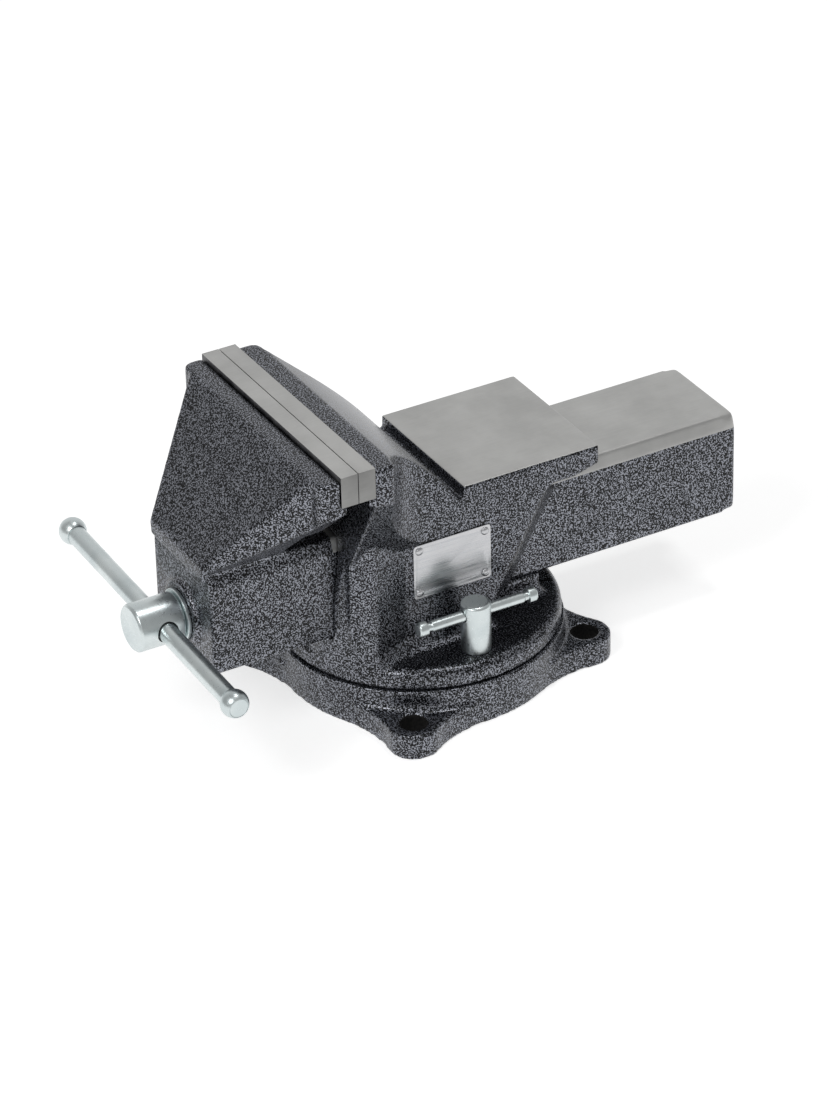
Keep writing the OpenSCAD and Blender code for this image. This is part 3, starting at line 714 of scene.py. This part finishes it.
dark_steel = oiled_steel_and_shade()
sawn_steel = ground_steel("sawn_steel", dull=0.23, bright=0.31)
for plate_name, plate_node, screw_node, jaw, behind in (
    ("rear_plate", "rear_jaw_plate", "rear_jaw_screws", "fixed_jaw", 1.0),
    ("front_plate", "front_jaw_plate", "front_jaw_screws", "movable_jaw", -1.0),
):
    plate = eased_copy(plate_name, plate_node, grip_ease, jaw, bare_steel)
    plate_centres, plate_normals = face_places(plate.data)
    # The faces behind the plate and the grip's broken edges take the dark steel as painted shade.
    back = plate_normals[:, 1] * behind > square_on
    grip_edge_shade = (
        (np.abs(plate_centres[:, 1] - grip_y) < grip_ease)
        & (np.abs(plate_normals[:, 1]) < square_on)
    )
    ends = np.abs(plate_normals[:, 0]) > square_on
    finish_faces(
        plate, (bare_steel, dark_steel, sawn_steel), np.where(back | grip_edge_shade, 1, 2 * ends)
    )
    eased_copy(
        plate_name + "_screws", screw_node, plate_screw_ease, jaw, dark_steel
    )


# Lead nut, its bolts and the clamp nuts
# Pieces that work out of sight: the nut stands in the slide's channel on two
# bolts from below, and the clamp nuts hang in the base's ring slot.
lead_nut_ease = 0.5 * mm
fastener_ease = 0.4 * mm


def bare_iron():
    """Machined cast iron, with the fine grain of its graphite."""
    material, tree, shader = new_finish("bare_iron", 1.0)
    grain = cloud(tree, surface_place(tree), 900.0)
    colour = tones(tree, grain, ((0.35, (0.15, 0.14, 0.13)), (0.65, (0.26, 0.25, 0.23))))
    tree.links.new(colour, shader.inputs["Base Color"])
    tree.links.new(spread(tree, grain, 0.42, 0.6), shader.inputs["Roughness"])
    return material


iron = bare_iron()
eased_copy("lead_nut_block", "lead_nut", lead_nut_ease, "fixed_jaw", iron)
for hidden_node in ("lead_nut_bolts", "clamp_nut_near", "clamp_nut_far"):
    eased_copy(
        hidden_node + "_milled", hidden_node, fastener_ease, "fixed_jaw", dark_steel
    )


# Lead screw, thrust washer, retaining collar and its pin
# The screw is turned from bar, cut with a trapezoidal thread and zinc plated. Its
# head takes the handle, and the pinned collar lets it pull the moving jaw open.
screw_z = 71.5 * mm
screw_r = 10.0 * mm
screw_head_r = 13.0 * mm
screw_head_front_y = -169.0 * mm
screw_head_rear_y = -142.7 * mm
screw_plain_y = -100.0 * mm
screw_rear_y = 153.0 * mm
screw_front_chamfer = 1.3 * mm
screw_back_chamfer = 1.2 * mm
screw_tip_chamfer = 2.0 * mm
screw_ease = 0.5 * mm
axis_r = 0.1 * mm
turned_angle = math.radians(40.0)
thread_lead = 5.0 * mm
thread_depth = 2.2 * mm
thread_steps = 12
# Shares of one lead, from the middle of the groove
groove_half = 0.18
groove_flank = 0.14
handle_y = -153.7 * mm
handle_tilt = math.radians(92.0)
handle_r = 5.25 * mm
handle_room = 0.75 * mm
handle_drill_half = 30.0 * mm
washer_r = 14.2 * mm
washer_t = 2.0 * mm
washer_ease = 0.4 * mm
collar_ease = 0.6 * mm
collar_pin_ease = 0.4 * mm


def zinc_plate():
    """Bright zinc plate, a little blue-green, with a satin mottle."""
    material, tree, shader = new_finish("zinc_plate", 1.0)
    place = surface_place(tree)
    mottle = cloud(tree, place, 700.0, 3.0)
    bloom = cloud(tree, place, 60.0)
    colour = tones(tree, bloom, ((0.30, (0.54, 0.60, 0.61)), (0.70, (0.68, 0.73, 0.73))))
    tree.links.new(colour, shader.inputs["Base Color"])
    tree.links.new(spread(tree, mottle, 0.26, 0.38), shader.inputs["Roughness"])
    tree.links.new(relief(tree, mottle, 0.05, 0.08 * mm), shader.inputs["Normal"])
    return material


def eased(profile, ease):
    """Rounds the inner corners of a turned profile."""
    steps = 4
    edge_share = 0.45
    smooth = [profile[0]]
    for before, corner, after in zip(profile, profile[1:], profile[2:]):
        corner = Vector(corner)
        to_before = Vector(before) - corner
        to_after = Vector(after) - corner
        start = corner + to_before.normalized() * min(ease, edge_share * to_before.length)
        end = corner + to_after.normalized() * min(ease, edge_share * to_after.length)
        for i in range(steps + 1):
            t = i / steps
            smooth.append(tuple(
                start * (1.0 - t) ** 2 + corner * 2.0 * t * (1.0 - t) + end * t ** 2
            ))
    smooth.append(profile[-1])
    return smooth


def turned(name, profile, place, segments=72):
    """A piece turned on a lathe, from places along its axis and radii."""
    corners = []
    for along, radius in profile:
        for i in range(segments):
            turn = 2.0 * math.pi * i / segments
            corner = Vector((radius * math.cos(turn), radius * math.sin(turn), along))
            corners.append(place @ corner)
    faces = [
        (
            ring * segments + i, ring * segments + (i + 1) % segments,
            (ring + 1) * segments + (i + 1) % segments, (ring + 1) * segments + i,
        )
        for ring in range(len(profile) - 1)
        for i in range(segments)
    ]
    last = (len(profile) - 1) * segments
    faces.append(tuple(reversed(range(segments))))
    faces.append(tuple(last + i for i in range(segments)))
    mesh = bpy.data.meshes.new(name)
    mesh.from_pydata(corners, [], faces)
    mesh.shade_smooth()
    mesh.set_sharp_from_angle(angle=turned_angle)
    return new_object(name, mesh)


def bored(piece, place, radius, half_length):
    """Bores a hole across a turned piece."""
    drill = turned(
        piece.name + "_drill", [(-half_length, radius), (half_length, radius)], place, segments=64
    )
    bore = piece.modifiers.new("cross_bore", "BOOLEAN")
    bore.operation = "DIFFERENCE"
    bore.solver = "EXACT"
    bore.object = drill
    bake_modifiers(piece)
    bpy.data.objects.remove(drill)
    piece.data.shade_smooth()
    piece.data.set_sharp_from_angle(angle=turned_angle)


def finished(piece, node, body, material):
    """Puts a made piece in the place of its solid."""
    piece.data.materials.clear()
    piece.data.materials.append(material)
    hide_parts(node)
    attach(piece, body)


def cut_thread(mesh):
    """Sinks a right-handed trapezoidal groove into the screw behind its plain neck."""
    skin_r = 0.9 * screw_r
    for corner in mesh.vertices:
        x, y, z = corner.co.x, corner.co.y, corner.co.z - screw_z
        radius = math.hypot(x, z)
        if y < screw_plain_y or radius < skin_r:
            continue
        turn = math.atan2(z, x) / (2.0 * math.pi)
        phase = (y / thread_lead + turn) % 1.0
        crest = min(max((abs(phase - 0.5) - groove_half) / groove_flank, 0.0), 1.0)
        shrink = 1.0 - (1.0 - crest) * thread_depth / radius
        corner.co.x = x * shrink
        corner.co.z = screw_z + z * shrink
    mesh.update()


zinc = zinc_plate()
thread_step = thread_lead / thread_steps
thread_rings = round((screw_rear_y - screw_tip_chamfer - screw_plain_y) / thread_step)
screw_profile = eased(
    [
        (screw_head_front_y, axis_r),
        (screw_head_front_y, screw_head_r - screw_front_chamfer),
        (screw_head_front_y + screw_front_chamfer, screw_head_r),
        (screw_head_rear_y - screw_back_chamfer, screw_head_r),
        (screw_head_rear_y, screw_head_r - screw_back_chamfer),
        (screw_head_rear_y, screw_r), (screw_plain_y, screw_r),
    ],
    screw_ease,
)
screw_profile += [(screw_plain_y + thread_step * i, screw_r) for i in range(1, thread_rings + 1)]
screw_profile += [(screw_rear_y, screw_r - screw_tip_chamfer), (screw_rear_y, axis_r)]
screw_axis = (
    Matrix.Translation((0.0, 0.0, screw_z)) @ Matrix.Rotation(math.radians(-90.0), 4, "X")
)
lead_screw = turned("lead_screw_turned", screw_profile, screw_axis)
cut_thread(lead_screw.data)
handle_axis = Matrix.Translation((0.0, handle_y, screw_z)) @ Matrix.Rotation(handle_tilt, 4, "Y")
bored(lead_screw, handle_axis, handle_r + handle_room, handle_drill_half)
finished(lead_screw, "lead_screw", "screw", zinc)
thrust_washer = turned(
    "thrust_washer_turned",
    eased(
        [
            (screw_head_rear_y, screw_r), (screw_head_rear_y, washer_r),
            (screw_head_rear_y + washer_t, washer_r), (screw_head_rear_y + washer_t, screw_r),
        ],
        washer_ease,
    ),
    screw_axis,
)
finished(thrust_washer, "thrust_washer", "screw", zinc)
for inner_node, inner_ease in (
    ("retaining_collar", collar_ease), ("collar_pin", collar_pin_ease),
):
    eased_copy(
        inner_node + "_turned", inner_node, inner_ease, "screw", dark_steel
    )


# Handle
# A zinc plated bar with a pressed-on ball knob at each end, free to slide in the
# screw's head. The balls are turned flat on the outside, flush with the bar.
handle_half = 96.5 * mm
handle_shift = -6.3 * mm
handle_ease = 0.4 * mm
knob_r = 7.5 * mm
knob_half = 5.0 * mm
knob_ease = 0.3 * mm
knob_lip = 0.05 * mm
knob_dish = 0.5 * mm
knob_steps = 16

handle_bar = turned(
    "handle_bar_turned",
    eased(
        [
            (handle_shift - handle_half, axis_r), (handle_shift - handle_half, handle_r),
            (handle_shift + handle_half, handle_r), (handle_shift + handle_half, axis_r),
        ],
        handle_ease,
    ),
    handle_axis,
)
finished(handle_bar, "handle_bar", "handle", zinc)
ball = [knob_half * (2.0 * i / knob_steps - 1.0) for i in range(knob_steps + 1)]
knob_profile = eased(
    [(-knob_half, handle_r)]
    + [(along, math.sqrt(knob_r ** 2 - along ** 2)) for along in ball]
    + [(knob_half, handle_r + knob_lip), (knob_half - knob_dish, handle_r)],
    knob_ease,
)
for knob_name, knob_node, side in (
    ("knob_near_turned", "handle_knob_near", 1.0), ("knob_far_turned", "handle_knob_far", -1.0),
):
    knob_middle = handle_shift + side * (handle_half - knob_half)
    knob_place = handle_axis @ Matrix.Translation((0.0, 0.0, knob_middle))
    if side < 0.0:
        knob_place = knob_place @ Matrix.Rotation(math.pi, 4, "X")
    knob = turned(knob_name, knob_profile, knob_place)
    finished(knob, knob_node, "handle", zinc)


# Swivel locks
# Tall turned heads with a sliding bar each. The bar's ends are upset to small
# heads behind a neck, so that it can't fall out.
lock_offset = 61.0 * mm
lock_head_r = 8.1 * mm
lock_head_top_z = 65.6 * mm
lock_foot_chamfer = 0.4 * mm
lock_top_chamfer_r = 1.3 * mm
lock_top_chamfer_h = 1.0 * mm
lock_head_ease = 0.7 * mm
lock_tip_z = 9.2 * mm
lock_thread_r = 5.5 * mm
lock_bar_z = 58.8 * mm
lock_bar_r = 3.0 * mm
lock_bar_half = 35.25 * mm
lock_bar_shift = 0.7 * mm
lock_bar_room = 0.45 * mm
lock_bar_ease = 0.4 * mm
lock_drill_half = 20.0 * mm
lock_end_r = 4.0 * mm
lock_end_len = 5.0 * mm
lock_end_chamfer = 0.8 * mm
lock_neck_len = 2.4 * mm
lock_neck_cut = 0.6 * mm

neck_r = lock_bar_r - lock_neck_cut
neck_start = lock_bar_half - lock_end_len
neck_end = neck_start - lock_neck_len
lock_bar_side = [
    (lock_bar_half, axis_r), (lock_bar_half, lock_end_r - lock_end_chamfer),
    (lock_bar_half - lock_end_chamfer, lock_end_r), (neck_start, lock_end_r),
    (neck_start, neck_r), (neck_end, neck_r), (neck_end - lock_neck_cut, lock_bar_r),
]
lock_bar_profile = [(lock_bar_shift - out, radius) for out, radius in lock_bar_side]
lock_bar_profile += [(lock_bar_shift + out, radius) for out, radius in reversed(lock_bar_side)]
for lock_side, side in (("near", 1.0), ("far", -1.0)):
    lock_head = turned(
        f"lock_{lock_side}_turned",
        eased(
            [
                (lock_tip_z, axis_r), (lock_tip_z, lock_thread_r), (flange_top_z, lock_thread_r),
                (flange_top_z, lock_head_r - lock_foot_chamfer),
                (flange_top_z + lock_foot_chamfer, lock_head_r),
                (lock_head_top_z - lock_top_chamfer_h, lock_head_r),
                (lock_head_top_z, lock_head_r - lock_top_chamfer_r),
                (lock_head_top_z, axis_r),
            ],
            lock_head_ease,
        ),
        Matrix.Translation((side * lock_offset, 0.0, 0.0)),
    )
    bar_axis = (
        Matrix.Translation((side * lock_offset, 0.0, lock_bar_z))
        @ Matrix.Rotation(math.radians(-90.0), 4, "X")
    )
    bored(lock_head, bar_axis, lock_bar_r + lock_bar_room, lock_drill_half)
    finished(lock_head, f"lock_screw_{lock_side}", f"{lock_side}_lock", zinc)
    lock_bar = turned(
        f"lock_bar_{lock_side}_turned", eased(lock_bar_profile, lock_bar_ease), bar_axis,
        segments=48,
    )
    finished(lock_bar, f"lock_bar_{lock_side}", f"{lock_side}_lock_bar", zinc)


# Nameplate and rivets
# A bare plate of brushed aluminium on the near side of the body. Four domed drive
# rivets hold it at its corners.
plate_x = 44.8 * mm
plate_middle_y = -4.0 * mm
plate_middle_z = 82.2 * mm
rivet_out_y = 19.6 * mm
rivet_out_z = 12.6 * mm
rivet_head_r = 2.3 * mm
rivet_head_h = 1.3 * mm
rivet_tip_r = 0.02 * mm
rivet_shank_r = 1.0 * mm
rivet_shank_len = 4.0 * mm
nameplate_ease = 0.2 * mm
dome_steps = 8


def brushed_aluminium():
    """Bright aluminium, brushed along the plate."""
    material, tree, shader = new_finish("brushed_aluminium", 1.0)
    lines = cloud(tree, surface_place(tree, (3000.0, 60.0, 3000.0)), 1.0, 3.0)
    colour = tones(tree, lines, ((0.30, (0.46, 0.47, 0.49)), (0.70, (0.62, 0.62, 0.63))))
    tree.links.new(colour, shader.inputs["Base Color"])
    tree.links.new(spread(tree, lines, 0.22, 0.36), shader.inputs["Roughness"])
    return material


aluminium = brushed_aluminium()
eased_copy(
    "nameplate_blank", "nameplate", nameplate_ease, "fixed_jaw", aluminium
)
dome_turns = [0.5 * math.pi * i / dome_steps for i in range(dome_steps + 1)]
dome = [
    (rivet_head_h * math.sin(turn), max(rivet_head_r * math.cos(turn), rivet_tip_r))
    for turn in dome_turns
]
shank = [(-rivet_shank_len, rivet_shank_r), (0.0, rivet_shank_r)]
rivet_shape = bmesh.new()
for along in (-1.0, 1.0):
    for up in (-1.0, 1.0):
        rivet_place = Matrix.Translation((
            plate_x, plate_middle_y + along * rivet_out_y, plate_middle_z + up * rivet_out_z
        )) @ Matrix.Rotation(math.radians(90.0), 4, "Y")
        rivet = turned("rivet", shank + dome, rivet_place, segments=24)
        rivet_shape.from_mesh(rivet.data)
        bpy.data.objects.remove(rivet)
rivets_mesh = bpy.data.meshes.new("drive_rivets")
rivet_shape.to_mesh(rivets_mesh)
rivet_shape.free()
rivets_mesh.shade_smooth()
rivets_mesh.set_sharp_from_angle(angle=turned_angle)
drive_rivets = new_object("drive_rivets", rivets_mesh)
finished(drive_rivets, "nameplate_rivets", "fixed_jaw", aluminium)
